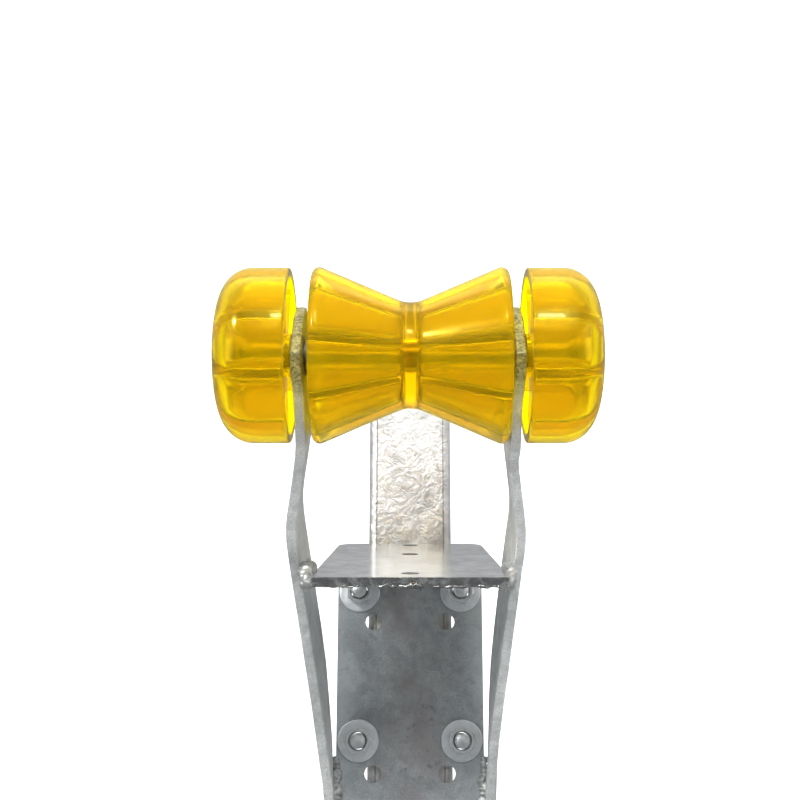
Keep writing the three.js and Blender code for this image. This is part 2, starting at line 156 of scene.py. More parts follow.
def subtract(target, cutter):
    """Cut the cutter out of the target, then delete the cutter."""
    modifier = target.modifiers.new("b", "BOOLEAN")
    modifier.operation, modifier.object, modifier.solver = "DIFFERENCE", cutter, "EXACT"
    depsgraph = bpy.context.evaluated_depsgraph_get()
    mesh = bpy.data.meshes.new_from_object(target.evaluated_get(depsgraph))
    target.modifiers.clear()
    old = target.data
    target.data = mesh
    mesh.name = old.name
    bpy.data.meshes.remove(old)
    cutter_mesh = cutter.data
    bpy.data.objects.remove(cutter)
    bpy.data.meshes.remove(cutter_mesh)


def lathe(profile, segments, closed=True):
    """A profile of (x, radius) turned about X; closed joins its last point to its first.

    A radius of 0 makes a single vertex on the axis.
    """
    verts, faces, rings = [], [], []
    for x, radius in profile:
        if radius < 1e-6:
            rings.append([len(verts)] * segments)
            verts.append((x, 0, 0))
            continue
        rings.append(list(range(len(verts), len(verts) + segments)))
        for i in range(segments):
            turn = 2 * math.pi * i / segments
            verts.append((x, radius * math.cos(turn), radius * math.sin(turn)))
    count = len(profile)
    for k in range(count if closed else count - 1):
        here, after = rings[k], rings[(k + 1) % count]
        for i in range(segments):
            j = (i + 1) % segments
            face = list(dict.fromkeys([here[i], here[j], after[j], after[i]]))
            if len(face) > 2:
                faces.append(face)
    return verts, faces


def fillet(outline, steps):
    """Round every corner of a closed outline of (x, y, corner radius)."""
    rounded = []
    for i, (x, y, radius) in enumerate(outline):
        corner = np.array([x, y], float)
        back = np.array(outline[i - 1][:2], float) - corner
        ahead = np.array(outline[(i + 1) % len(outline)][:2], float) - corner
        back /= np.linalg.norm(back)
        ahead /= np.linalg.norm(ahead)
        half = math.acos(float(back @ ahead)) / 2
        setback = radius / math.tan(half)
        bisector = (back + ahead) / np.linalg.norm(back + ahead)
        center = corner + bisector * (radius / math.sin(half))
        start = math.atan2(*(corner + back * setback - center)[::-1])
        end = math.atan2(*(corner + ahead * setback - center)[::-1])
        while end - start > math.pi:
            end -= 2 * math.pi
        while end - start < -math.pi:
            end += 2 * math.pi
        for j in range(steps + 1):
            turn = start + (end - start) * j / steps
            rounded.append((
                center[0] + radius * math.cos(turn),
                center[1] + radius * math.sin(turn),
            ))
    return rounded


def loft(rings, cap=True):
    """Skin a row of rings that have equal point counts."""
    count = len(rings[0])
    verts = [point for ring in rings for point in ring]
    faces = []
    for k in range(len(rings) - 1):
        here, after = k * count, (k + 1) * count
        for i in range(count):
            j = (i + 1) % count
            faces.append((here + i, here + j, after + j, after + i))
    if cap:
        faces.append(tuple(range(count))[::-1])
        faces.append(tuple(range((len(rings) - 1) * count, len(rings) * count)))
    return verts, faces


def merge(shapes):
    verts, faces = [], []
    for shape_verts, shape_faces in shapes:
        offset = len(verts)
        verts += list(shape_verts)
        faces += [tuple(i + offset for i in face) for face in shape_faces]
    return verts, faces


def catmull(points, steps):
    """A Catmull-Rom curve through the points, with this many steps between each pair."""
    knots = [np.array(point, float) for point in points]
    knots = [2 * knots[0] - knots[1]] + knots + [2 * knots[-1] - knots[-2]]
    curve = []
    for i in range(1, len(knots) - 2):
        p0, p1, p2, p3 = knots[i - 1:i + 3]
        square = 2 * p0 - 5 * p1 + 4 * p2 - p3
        cube = 3 * p1 - p0 - 3 * p2 + p3
        for j in range(steps):
            t = j / steps
            curve.append(tuple(0.5 * (2 * p1 + (p2 - p0) * t + square * t * t + cube * t ** 3)))
    curve.append(tuple(knots[-2]))
    return curve


# ---------------------------------------------------------------------------
# Shader helpers
# ---------------------------------------------------------------------------
class Nodes:
    """Short calls for building the node tree of a material or a world."""

    def __init__(self, owner, space="Object"):
        owner.use_nodes = True
        self.owner = owner
        self.tree = owner.node_tree
        self.place = self.new("TexCoord").outputs[space]

    def feed(self, socket, value):
        """Set a socket to a number or an RGB colour, or link an output to it."""
        if isinstance(value, (int, float)):
            socket.default_value = value
        elif isinstance(value, tuple):
            socket.default_value = (*value, 1)
        else:
            self.tree.links.new(value, socket)

    def new(self, kind, inputs=None, **settings):
        node = self.tree.nodes.new("ShaderNode" + kind)
        for key, value in settings.items():
            setattr(node, key, value)
        for key, value in (inputs or {}).items():
            self.feed(node.inputs[key], value)
        return node

    def noise(self, scale, detail, rough, dist=0.0):
        inputs = {"Scale": scale, "Detail": detail, "Roughness": rough, "Distortion": dist}
        return self.new("TexNoise", {**inputs, "Vector": self.place}).outputs["Fac"]

    def voronoi(self, scale, out):
        return self.new("TexVoronoi", {"Scale": scale, "Vector": self.place}).outputs[out]

    def ramp(self, value, stops):
        """stops: (position, colour)."""
        node = self.new("ValToRGB")
        elements = node.color_ramp.elements
        while len(elements) < len(stops):
            elements.new(0.5)
        for element, (position, color) in zip(elements, stops):
            element.position = position
            element.color = (*color, 1)
        self.feed(node.inputs["Fac"], value)
        return node.outputs["Color"]

    def remap(self, value, over=(0.0, 1.0), to=(0.0, 1.0)):
        """Carry the range 'over' to the range 'to', clamped."""
        inputs = {"From Min": over[0], "From Max": over[1], "To Min": to[0], "To Max": to[1]}
        return self.new("MapRange", {**inputs, "Value": value}).outputs["Result"]

    def fade(self, value, over):
        """A mask that falls from 1 to 0."""
        return self.remap(value, over=over, to=(1.0, 0.0))

    def math(self, operation, first, second):
        return self.new("Math", {0: first, 1: second}, operation=operation).outputs[0]

    def add(self, first, second):
        return self.math("ADD", first, second)

    def times(self, value, by):
        return self.math("MULTIPLY", value, by)

    def absolute(self, value):
        return self.math("ABSOLUTE", value, 0.0)

    def away(self, value, center):
        """Distance of the value from a center."""
        return self.absolute(self.math("SUBTRACT", value, center))

    def blend(self, first, second, share):
        """Weighted sum; share is the first one's weight."""
        return self.add(self.times(first, share), self.times(second, 1 - share))

    def mix(self, share, under, over, mode="MIX"):
        inputs = {0: share, 6: under, 7: over}
        return self.new("Mix", inputs, data_type="RGBA", blend_type=mode).outputs[2]

    def paint(self, under, over, mask, strength=None):
        """Lay the colour 'over' on top where the mask is high."""
        if strength is not None:
            mask = self.times(mask, strength)
        return self.mix(mask, under, over)

    def shade(self, color, value):
        """Multiply a colour by a grey value."""
        grey = self.new("CombineColor", {0: value, 1: value, 2: value}).outputs[0]
        return self.mix(1.0, color, grey, "MULTIPLY")

    def red(self, color):
        return self.new("SeparateColor", {0: color}).outputs[0]

    def axes(self):
        return tuple(self.new("SeparateXYZ", {0: self.place}).outputs)

    def bump(self, height, strength, distance, normal=None):
        inputs = {"Strength": strength, "Distance": distance, "Height": height}
        if normal is not None:
            inputs["Normal"] = normal
        return self.new("Bump", inputs).outputs["Normal"]

    def surface(self, **values):
        """Feed the Principled shader; underscores stand for spaces."""
        sockets = self.tree.nodes["Principled BSDF"].inputs
        for key, value in values.items():
            self.feed(sockets[key.replace("_", " ")], value)


def new_material(name):
    return Nodes(bpy.data.materials.new(name))


# ---------------------------------------------------------------------------
# Galvanised steel
# ---------------------------------------------------------------------------
def galvanised(name, tones, metallic, rough, bump, spangle, grain, finish=None):
    """Zinc-dipped steel.

    tones: dark, middle and light colour.  rough: smoothest and roughest.  bump, spangle and
    grain: strength of the relief, the crystals and the fine speckle.  finish: a function that
    adds one part's own marks.
    """
    mat = new_material(name)
    cloud = mat.noise(scale=26, detail=5, rough=0.6, dist=0.4)
    blotch = mat.noise(scale=90, detail=4, rough=0.65, dist=0.8)
    fine = mat.noise(scale=900, detail=3, rough=0.7)
    both = mat.blend(cloud, blotch, share=0.62)
    color = mat.ramp(both, list(zip((0.36, 0.5, 0.64), tones)))
    crystal = mat.red(mat.voronoi(scale=170, out="Color"))
    color = mat.shade(color, mat.remap(crystal, to=(1.0 - spangle, 1.0 + spangle * 0.6)))
    speck = mat.remap(fine, over=(0.3, 0.7), to=(1.0 - grain, 1.0 + grain * 0.5))
    color = mat.shade(color, speck)
    # a few small dark pits
    pit = mat.voronoi(scale=240, out="Distance")
    pit = mat.times(
        mat.fade(pit, over=(0.02, 0.09)),
        by=mat.remap(mat.noise(scale=33, detail=2, rough=0.5), over=(0.6, 0.66)),
    )
    color = mat.paint(color, over=(0.05, 0.05, 0.05), mask=pit)
    roughness = mat.remap(mat.blend(blotch, fine, share=0.5), over=(0.3, 0.7), to=rough)
    wave = mat.noise(scale=60, detail=3, rough=0.5)
    normal = mat.bump(wave, strength=0.25 * bump, distance=0.0022)
    lump = mat.noise(scale=240, detail=4, rough=0.6)
    normal = mat.bump(lump, strength=0.3 * bump, distance=0.0005, normal=normal)
    normal = mat.bump(fine, strength=0.35 * bump, distance=0.00012, normal=normal)
    if finish is not None:
        color, normal = finish(mat, color, normal)
    mat.surface(Base_Color=color, Metallic=metallic, Roughness=roughness, Normal=normal)
    return mat.owner


def post_finish(mat, color, normal):
    """Wrinkled zinc, a pale painted reflection over the lower part, and a thin drawn line of
    painted shade where each corner radius starts.
    """
    x, _, z = mat.axes()
    wrinkle = mat.noise(scale=150, detail=5, rough=0.6, dist=1.6)
    ridge = mat.fade(mat.away(wrinkle, center=0.5), over=(0.0, 0.035))
    patches = mat.remap(mat.noise(scale=30, detail=3, rough=0.6), over=(0.47, 0.6))
    ridge = mat.times(ridge, by=patches)
    color = mat.paint(color, over=(0.30, 0.30, 0.30), mask=ridge, strength=0.75)
    # painted reflection: a pale beige laid over the lower part of the post
    low = mat.times(
        mat.fade(z, over=(0.0, 0.05)),
        by=mat.remap(
            mat.noise(scale=55, detail=4, rough=0.6), over=(0.42, 0.6), to=(0.1, 1.0)
        ),
    )
    color = mat.paint(color, over=(0.56, 0.53, 0.46), mask=low, strength=0.8)
    # painted shade: a thin dark line along each corner's tangent
    corner_shade_line = mat.away(mat.absolute(x), center=0.0209)
    corner_shade_line = mat.fade(corner_shade_line, over=(0.00012, 0.0006))
    color = mat.paint(color, over=(0.12, 0.12, 0.12), mask=corner_shade_line, strength=0.85)
    return color, mat.bump(wrinkle, strength=0.42, distance=0.0022, normal=normal)


def arm_finish(mat, color, normal):
    """Coarse crystals round the clipped top corners, plain rolled zinc with dark dots below."""
    _, _, z = mat.axes()
    waver = mat.times(mat.noise(scale=120, detail=3, rough=0.6), by=0.012)
    top = mat.remap(mat.add(z, waver), over=(0.098, 0.108))
    crystal = mat.red(mat.voronoi(scale=900, out="Color"))
    flake = mat.shade((0.52, 0.50, 0.31), mat.remap(crystal, to=(0.12, 1.0)))
    color = mat.paint(color, over=flake, mask=top, strength=0.85)
    grit = mat.times(mat.voronoi(scale=520, out="Distance"), by=top)
    normal = mat.bump(grit, strength=0.45, distance=0.0005, normal=normal)
    dots = mat.voronoi(scale=95, out="Distance")
    dots = mat.times(
        mat.fade(dots, over=(0.05, 0.09)),
        by=mat.remap(mat.noise(scale=21, detail=2, rough=0.5), over=(0.55, 0.6)),
    )
    return mat.paint(color, over=(0.07, 0.07, 0.06), mask=dots, strength=0.8), normal


def shelf_finish(mat, color, normal):
    """The sawn front edge is painted darker, as shade, with paler patches, and is lumpy."""
    _, y, _ = mat.axes()
    front = mat.fade(y, over=(SHELF_FRONT_EDGE + 0.0002, SHELF_FRONT_EDGE + 0.0011))
    drip = mat.noise(scale=210, detail=4, rough=0.65, dist=0.8)
    drip = mat.remap(drip, over=(0.46, 0.62))
    # painted shade: the dark colour of the front face, with paler patches
    edge = mat.paint((0.28, 0.285, 0.28), over=(0.58, 0.59, 0.57), mask=drip)
    color = mat.paint(color, over=edge, mask=front)
    lump = mat.times(mat.noise(scale=330, detail=4, rough=0.6), by=front)
    return color, mat.bump(lump, strength=0.55, distance=0.0012, normal=normal)


def plate_finish(mat, color, normal):
    """A brownish violet cast over the middle, paler toward the edges, with dark spots."""
    x, _, _ = mat.axes()
    middle = mat.times(
        mat.fade(mat.absolute(x), over=(0.008, 0.036)),
        by=mat.remap(mat.noise(scale=32, detail=4, rough=0.6), over=(0.4, 0.6), to=(0.2, 1.0)),
    )
    color = mat.paint(color, over=(0.215, 0.200, 0.200), mask=middle, strength=0.75)
    reach = mat.absolute(x)
    waver = mat.times(mat.noise(scale=45, detail=3, rough=0.5), by=0.016)
    pale = mat.remap(mat.add(reach, waver), over=(0.036, 0.052), to=(0.0, 0.5))
    color = mat.paint(color, over=(0.42, 0.45, 0.46), mask=pale)
    spots = mat.times(
        mat.remap(mat.noise(scale=160, detail=4, rough=0.7), over=(0.56, 0.66)),
        by=mat.remap(mat.noise(scale=22, detail=2, rough=0.5), over=(0.5, 0.62), to=(0.0, 0.6)),
    )
    return mat.paint(color, over=(0.085, 0.082, 0.08), mask=spots), normal


# ---------------------------------------------------------------------------
# Amber polymer and zinc plating
# ---------------------------------------------------------------------------
def amber():
    mat = new_material("amber_polymer")
    color = mat.ramp(mat.noise(scale=38, detail=3, rough=0.5, dist=0.5), [
        (0.3, (0.84, 0.69, 0.006)),
        (0.5, (0.86, 0.72, 0.007)),
        (0.72, (0.88, 0.75, 0.009)),
    ])
    # painted shade: the solid web at the middle of the spool is painted a deeper orange, for the
    # light lost passing through its thickness
    x, _, _ = mat.axes()
    web_shade = mat.remap(mat.absolute(x), over=(0.001, 0.0075), to=(0.95, 0.0))
    color = mat.paint(color, over=(0.74, 0.52, 0.005), mask=web_shade)
    scuff = mat.noise(scale=520, detail=3, rough=0.7)
    streak = mat.noise(scale=120, detail=4, rough=0.6, dist=1.2)
    rough = mat.remap(mat.blend(scuff, streak, share=0.4), over=(0.35, 0.7), to=(0.14, 0.24))
    wave = mat.noise(scale=45, detail=2, rough=0.4)
    normal = mat.bump(wave, strength=0.18, distance=0.0016)
    normal = mat.bump(scuff, strength=0.06, distance=0.0001, normal=normal)
    mat.surface(
        Base_Color=color,
        Roughness=rough,
        IOR=1.32,
        Normal=normal,
        Transmission_Weight=0.9,
        Specular_IOR_Level=0.04,
        Specular_Tint=(1.0, 0.9, 0.15),
        Coat_Weight=0.5,
        Coat_Roughness=0.05,
        Coat_IOR=1.2,
        Coat_Tint=(1.0, 0.99, 0.16),
    )
    volume = mat.new("VolumeAbsorption", {"Color": (0.985, 0.93, 0.0), "Density": 120.0})
    output = mat.tree.nodes["Material Output"]
    mat.feed(output.inputs["Volume"], volume.outputs["Volume"])
    return mat.owner


def zinc(name, tones, rough):
    """Bright plating.  tones: dark, middle and light.  rough: smoothest and roughest."""
    mat = new_material(name)
    cloud = mat.noise(scale=110, detail=4, rough=0.6)
    fine = mat.noise(scale=1400, detail=3, rough=0.7)
    color = mat.ramp(cloud, list(zip((0.3, 0.5, 0.7), tones)))
    smear = mat.noise(scale=300, detail=4, rough=0.65)
    roughness = mat.remap(smear, over=(0.3, 0.7), to=rough)
    lump = mat.noise(scale=420, detail=3, rough=0.5)
    normal = mat.bump(lump, strength=0.25, distance=0.0003)
    normal = mat.bump(fine, strength=0.25, distance=0.00008, normal=normal)
    mat.surface(Base_Color=color, Metallic=0.85, Roughness=roughness, Normal=normal)
    return mat.owner


AMBER = amber()
POST_STEEL = galvanised(
    "galvanised_post",
    tones=((0.39, 0.39, 0.388), (0.57, 0.57, 0.568), (0.72, 0.72, 0.717)),
    metallic=0.5, rough=(0.26, 0.44), bump=1.2, spangle=0.08, grain=0.15, finish=post_finish,
)
# painted shade: the plate's tones are darker than the arms', for the shade it lies in under the
# shelf
PLATE_STEEL_SHADED = galvanised(
    "galvanised_plate",
    tones=((0.24, 0.26, 0.27), (0.31, 0.335, 0.345), (0.39, 0.415, 0.43)),
    metallic=0.35, rough=(0.4, 0.58), bump=0.8, spangle=0.12, grain=0.25, finish=plate_finish,
)
ARM_STEEL = galvanised(
    "galvanised_arm",
    tones=((0.46, 0.48, 0.47), (0.60, 0.62, 0.61), (0.74, 0.75, 0.74)),
    metallic=0.55, rough=(0.34, 0.55), bump=1.0, spangle=0.12, grain=0.22, finish=arm_finish,
)
SHELF_STEEL = galvanised(
    "galvanised_shelf",
    tones=((0.62, 0.63, 0.62), (0.78, 0.79, 0.77), (0.90, 0.91, 0.88)),
    metallic=0.9, rough=(0.12, 0.25), bump=0.35, spangle=0.1, grain=0.15, finish=shelf_finish,
)
WELD_STEEL = galvanised(
    "galvanised_weld",
    tones=((0.30, 0.31, 0.30), (0.48, 0.49, 0.48), (0.68, 0.68, 0.66)),
    metallic=0.7, rough=(0.42, 0.6), bump=0.8, spangle=0.3, grain=0.3,
)
DRIP_ZINC = galvanised(
    "galvanised_drip",
    tones=((0.16, 0.165, 0.16), (0.34, 0.35, 0.34), (0.7, 0.7, 0.68)),
    metallic=0.9, rough=(0.18, 0.36), bump=1.4, spangle=0.3, grain=0.3,
)
AXLE_ZINC = zinc(
    "zinc_plate",
    tones=((0.33, 0.34, 0.34), (0.46, 0.47, 0.47), (0.6, 0.61, 0.6)),
    rough=(0.3, 0.48),
)
NUT_ZINC = zinc(
    "zinc_nut",
    tones=((0.54, 0.56, 0.56), (0.70, 0.72, 0.72), (0.86, 0.87, 0.87)),
    rough=(0.3, 0.46),
)
WASHER_ZINC = zinc(
    "zinc_washer",
    tones=((0.70, 0.73, 0.74), (0.82, 0.85, 0.86), (0.92, 0.94, 0.95)),
    rough=(0.34, 0.5),
)

# ---------------------------------------------------------------------------
# Rollers: a turned body with eight pockets cut in from each open face
# ---------------------------------------------------------------------------
RIB_COUNT = 8
RIB_THICK = 3.0
OVERSHOOT = 2.5  # cutters start this far outside the open face
HUB_OVERLAP, WALL_OVERLAP = 0.05, 0.06  # the rib trim bites this far past the pockets


def rounded_square(count=44, power=5.5):
    """A superellipse within +-1, the section of a pocket before it is bent round the hub."""
    points = []
    for i in range(count):
        turn = 2 * math.pi * i / count
        points.append(tuple(
            math.copysign(abs(value) ** (2 / power), value)
            for value in (math.cos(turn), math.sin(turn))
        ))
    return points


POCKET_SECTION = rounded_square()


def pocket(stations, inner, outer, middle, deep_round):
    """One pocket between two ribs.

    stations: x from the mouth to the deep end.  inner, outer: radius at x.  middle: its angle.
    """
    rings = []
    for x in stations:
        into = max(0.0, 1 - abs(stations[-1] - x) / deep_round)
        shrink = deep_round * (1 - math.sqrt(1 - into * into))
        low, high = inner(x) + shrink * 0.8, outer(x) - shrink
        ring = []
        for across, outward in POCKET_SECTION:
            radius = (low + high) / 2 + outward * (high - low) / 2
            half = math.pi / RIB_COUNT - math.asin((RIB_THICK / 2 + shrink * 0.8) / radius)
            turn = middle + across * half
            ring.append((x, radius * math.cos(turn), radius * math.sin(turn)))
        rings.append(ring)
    return loft(rings)


def pockets(mouth, deep, inner, outer, rib_angle, deep_round, round_steps):
    """The pockets of one face.  rib_angle: degrees of a rib above the horizontal, on -Y."""
    sign = 1 if deep > mouth else -1
    # even steps to the rounding, then closer ones into it
    stations = list(np.linspace(mouth, deep - sign * deep_round, 7))
    for j in range(1, round_steps + 1):
        left = 1 - math.sin(j / round_steps * math.pi / 2)
        stations.append(deep - sign * deep_round * left)
    first_rib = math.pi - math.radians(rib_angle)
    middles = [first_rib + (i + 0.5) * math.pi / (RIB_COUNT / 2) for i in range(RIB_COUNT)]
    return [pocket(stations, inner, outer, middle, deep_round) for middle in middles]


def rib_trim(start, end, wall_start, wall_end, segments):
    """A ring that cuts the ribs back from the rim, between hub and wall."""
    bottom = HUB_RADIUS - HUB_OVERLAP
    profile = [
        (start, bottom),
        (start, wall_start + WALL_OVERLAP),
        (end, wall_end + WALL_OVERLAP),
        (end, bottom),
    ]
    return lathe(profile, segments)


def build_roller(name, body, node, profile, hollows, trims, shift):
    obj = make(name, lathe(profile, 160), material=AMBER, angle=38)
    subtract(obj, make("pocket_cutter", merge(hollows)))
    subtract(obj, make("trim_cutter", merge(trims)))
    mesh = obj.data
    mesh.transform(Matrix.Translation((shift * 0.001, 0, 0)))
    smooth_all(mesh)
    mesh.set_sharp_from_angle(angle=math.radians(42))
    # guards against the cuts leaving the mesh without its material
    if not mesh.materials:
        mesh.materials.append(AMBER)
    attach(obj, body)
    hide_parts(node)


def build_spool():
    """An hourglass spool, open at both ends, with a solid web at the waist."""
    slope, waist_radius, wall = 0.4247, 26.3, 5.0
    web_half = 4.2
    rib_setback = 1.6
    half = SPOOL_HALF
    rim_radius = waist_radius + slope * half
    outline = [  # x, radius, corner radius
        (-half, BORE_RADIUS, 0.6),
        (-half, rim_radius, 3.7),
        (0, waist_radius, 17.5),
        (half, rim_radius, 3.7),
        (half, BORE_RADIUS, 0.6),
    ]

    def inner(x):
        return HUB_RADIUS

    def outer(x):
        return waist_radius + slope * abs(x) - wall

    hollows, trims = [], []
    trim_end = half - rib_setback
    for side in (-1, 1):
        mouth = side * (half + OVERSHOOT)
        hollows += pockets(
            mouth, side * web_half, inner, outer, rib_angle=12.8, deep_round=3.0, round_steps=8
        )
        trims.append(rib_trim(mouth, side * trim_end, outer(half), outer(trim_end), 96))
    build_roller(
        "spool_roller_body", "spool", "spool_roller", fillet(outline, 14), hollows, trims, SPOOL_X
    )


# In the bell's own profile x runs outward, away from the spool.
BELL_MOUTH = 62.0
BELL_RADIUS = 45.7
BELL_WALL_RADIUS = BELL_RADIUS - 4.5  # inside of the straight wall
DOME = catmull([  # x, radius of the domed outer end
    (81.2, BELL_RADIUS), (84.7, 45.3), (88.2, 44.0), (91.4, 42.0), (94.2, 39.2),
    (96.7, 35.3), (98.5, 30.5), (99.7, 25.0), (100.3, 20.0), (100.5, 16.8),
], 4)
BELL_PROFILE = [  # x, radius: mouth, straight side, dome, then the recess round the bore
    (BELL_MOUTH, BORE_RADIUS), (BELL_MOUTH, HUB_RADIUS), (BELL_MOUTH, 44.4),
    (BELL_MOUTH + 0.12, 45.05), (BELL_MOUTH + 0.5, 45.5), (BELL_MOUTH + 1.1, BELL_RADIUS),
    (70.0, BELL_RADIUS), (77.0, BELL_RADIUS), *DOME,
    (100.35, 16.35), (100.0, 16.05), (99.4, 15.95), (93.4, 15.8), (92.95, 15.6), (92.8, 15.2),
    (92.8, BORE_RADIUS),
]


def bell_inner(x):
    """Radius of the pocket's floor: the hub, widening under the dome."""
    return float(np.interp(abs(x), [84.7, 88.2, 92.2], [HUB_RADIUS, 19.5, 20.5]))


def bell_outer(x):
    """Radius of the pocket's roof; the wall keeps about 5 mm off the dome."""
    ahead, below = 3.6, 3.9
    dome_x, dome_radius = zip(*DOME)
    under_dome = float(np.interp(abs(x) + ahead, dome_x, dome_radius)) - below
    return min(BELL_WALL_RADIUS, under_dome)


def build_bell(side, tag):
    deep_end = 93.8
    rib_setback = 2.2
    mouth = side * (BELL_MOUTH - OVERSHOOT)
    hollows = pockets(
        mouth, side * deep_end, bell_inner, bell_outer,
        rib_angle=30.0, deep_round=4.5, round_steps=9,
    )
    trim_end = side * (BELL_MOUTH + rib_setback)
    trims = [rib_trim(mouth, trim_end, BELL_WALL_RADIUS, BELL_WALL_RADIUS, 128)]
    build_roller(
        f"{tag}_bell_body", f"{tag}_bell", f"{tag}_end_bell",
        [(side * x, radius) for x, radius in BELL_PROFILE],
        hollows, trims, side * (BELL_MOUTH_AT[side] - BELL_MOUTH),
    )


build_spool()
for side, tag in SIDES[::-1]:
    build_bell(side, tag)


# ---------------------------------------------------------------------------
# Axle and the loose rings on it
# ---------------------------------------------------------------------------
def build_axle():
    # rounded ends: distance in from the end, distance below the full radius
    end = [(0.0, 1.1), (0.35, 0.45), (1.0, 0.0)]
    profile = [(AXLE_LEFT, 0)]
    profile += [(AXLE_LEFT + inset, AXLE_RADIUS - drop) for inset, drop in end]
    profile.append((0, AXLE_RADIUS))
    profile += [(AXLE_RIGHT - inset, AXLE_RADIUS - drop) for inset, drop in end[::-1]]
    profile.append((AXLE_RIGHT, 0))
    make_hardware("axle_rod", "axle", lathe(profile, 64, closed=False), AXLE_ZINC, angle=40)


def flat_ring(start, end, outer_radius):
    hole, edge = 6.7, 0.35
    return fillet([
        (start, hole, edge * 0.6),
        (start, outer_radius, edge),
        (end, outer_radius, edge),
        (end, hole, edge * 0.6),
    ], 4)


def push_nut(start, end, side):
    """A domed cap with its flange toward the middle of the axle."""
    near = start if side > 0 else end
    depth = abs(end - start)
    profile = [  # distance outward, radius
        (0.0, 6.6), (0.0, 10.2), (0.5, 10.4), (1.0, 10.2), (depth * 0.62, 9.4),
        (depth * 0.92, 8.0), (depth * 0.98, 7.0), (depth * 0.8, 6.5), (depth * 0.45, 6.6),
    ]
    return [(near + side * x, radius) for x, radius in profile]


RINGS = [  # CAD node, object name, outer radius (None: push nut)
    ("inner_spacer", "spacer_ring_inner", 10.8),
    ("outer_spacer", "spacer_ring_outer", 10.8),
    ("axle_washer", "axle_flat_washer", 13.3),
    ("push_nut", "push_nut_cap", None),
]


def build_ring(side, tag, node, name, outer_radius):
    """A ring turned between the two faces of its CAD node."""
    low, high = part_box(f"{tag}_{node}")
    start, end = low.x * 1000, high.x * 1000
    if outer_radius is None:
        profile = push_nut(start, end, side)
    else:
        profile = flat_ring(start, end, outer_radius)
    make_hardware(f"{tag}_{name}", f"{tag}_{node}", lathe(profile, 72), AXLE_ZINC, angle=35)


build_axle()
for side, tag in SIDES:
    for ring in RINGS:
        build_ring(side, tag, *ring)


# ---------------------------------------------------------------------------
# CAD plates that keep their shape: rounded edges and a galvanised finish
# ---------------------------------------------------------------------------
def carry(node, material, width, angle=30):
    """Bevel by width (metres) the edges steeper than angle (degrees)."""
    obj = NODES[node]
    obj.data.materials.clear()
    obj.data.materials.append(material)
    weld = obj.modifiers.new("weld", "WELD")
    weld.merge_threshold = 1e-6
    flat = obj.modifiers.new("flat", "DECIMATE")
    flat.decimate_type, flat.angle_limit = "DISSOLVE", math.radians(0.6)
    bevel = obj.modifiers.new("round", "BEVEL")
    bevel.width, bevel.segments = width, 3
    bevel.limit_method, bevel.angle_limit = "ANGLE", math.radians(angle)
    bevel.harden_normals = False
    bevel.miter_outer = "MITER_ARC"
    smooth_all(obj.data)
    normals = obj.modifiers.new("normals", "WEIGHTED_NORMAL")
    normals.keep_sharp = True
    normals.weight = 100


carry("left_arm", ARM_STEEL, width=0.0011)
carry("right_arm", ARM_STEEL, width=0.0011)
carry("mount_plate", PLATE_STEEL_SHADED, width=0.0006)
carry("winch_shelf", SHELF_STEEL, width=0.0008)
carry("winch_post", POST_STEEL, width=0.0006, angle=50)

# ---------------------------------------------------------------------------
# U-bolts with rolled threads, in the plate's axes
# ---------------------------------------------------------------------------
ROD_RADIUS, BEND_RADIUS = 4.7, 9.5
STUD_END = 15.0  # the free ends, in front of the plate
POST_FRONT, POST_DEPTH, POST_GAP = -5.35, 51.6, 0.35
BOLT_BACK = POST_FRONT - POST_DEPTH - POST_GAP - ROD_RADIUS  # center line behind the post
PITCH, THREAD_LENGTH, THREAD_DEPTH = 1.6, 42.0, 0.75
NO_THREAD = 1e3  # stands for a distance well past the thread


def ubolt_path(row_y):
    """(point, tangent, distance from the free end): down the left leg, up the right one."""
    steps = int(THREAD_LENGTH / PITCH * 8)
    heights = [STUD_END - THREAD_LENGTH * i / steps for i in range(steps + 1)]
    heights += list(np.linspace(STUD_END - THREAD_LENGTH - 2, BOLT_BACK + BEND_RADIUS, 6))
    path = []
    for z in heights:
        path.append((Vector((-BOLT_X, row_y, z)), Vector((0, 0, -1)), STUD_END - z))
    for i in range(1, 11):
        turn = i / 10 * math.pi / 2
        x = -BOLT_X + BEND_RADIUS * (1 - math.cos(turn))
        z = BOLT_BACK + BEND_RADIUS * (1 - math.sin(turn))
        tangent = Vector((math.sin(turn), 0, -math.cos(turn)))
        path.append((Vector((x, row_y, z)), tangent, NO_THREAD))
    for i in range(10):
        turn = i / 10 * math.pi / 2
        x = BOLT_X - BEND_RADIUS * (1 - math.sin(turn))
        z = BOLT_BACK + BEND_RADIUS * (1 - math.cos(turn))
        tangent = Vector((math.cos(turn), 0, math.sin(turn)))
        path.append((Vector((x, row_y, z)), tangent, NO_THREAD))
    for z in heights[::-1]:
        path.append((Vector((BOLT_X, row_y, z)), Vector((0, 0, 1)), STUD_END - z))
    return path


def thread_radius(distance, turn, hand):
    """Rod radius at a distance from the free end and an angle round the rod."""
    if distance >= THREAD_LENGTH:
        return ROD_RADIUS
    phase = (distance / PITCH + (turn / (2 * math.pi)) * hand) % 1.0
    groove = max(0.0, min(1.0, 1.25 * abs(2 * phase - 1) - 0.12))
    # the thread runs out over its last 3 mm, and the free end is tapered
    depth = THREAD_DEPTH * min(1.0, (THREAD_LENGTH - distance) / 3.0)
    return min(ROD_RADIUS - 0.05 - depth * groove, ROD_RADIUS - 1.2 + distance * 1.1)


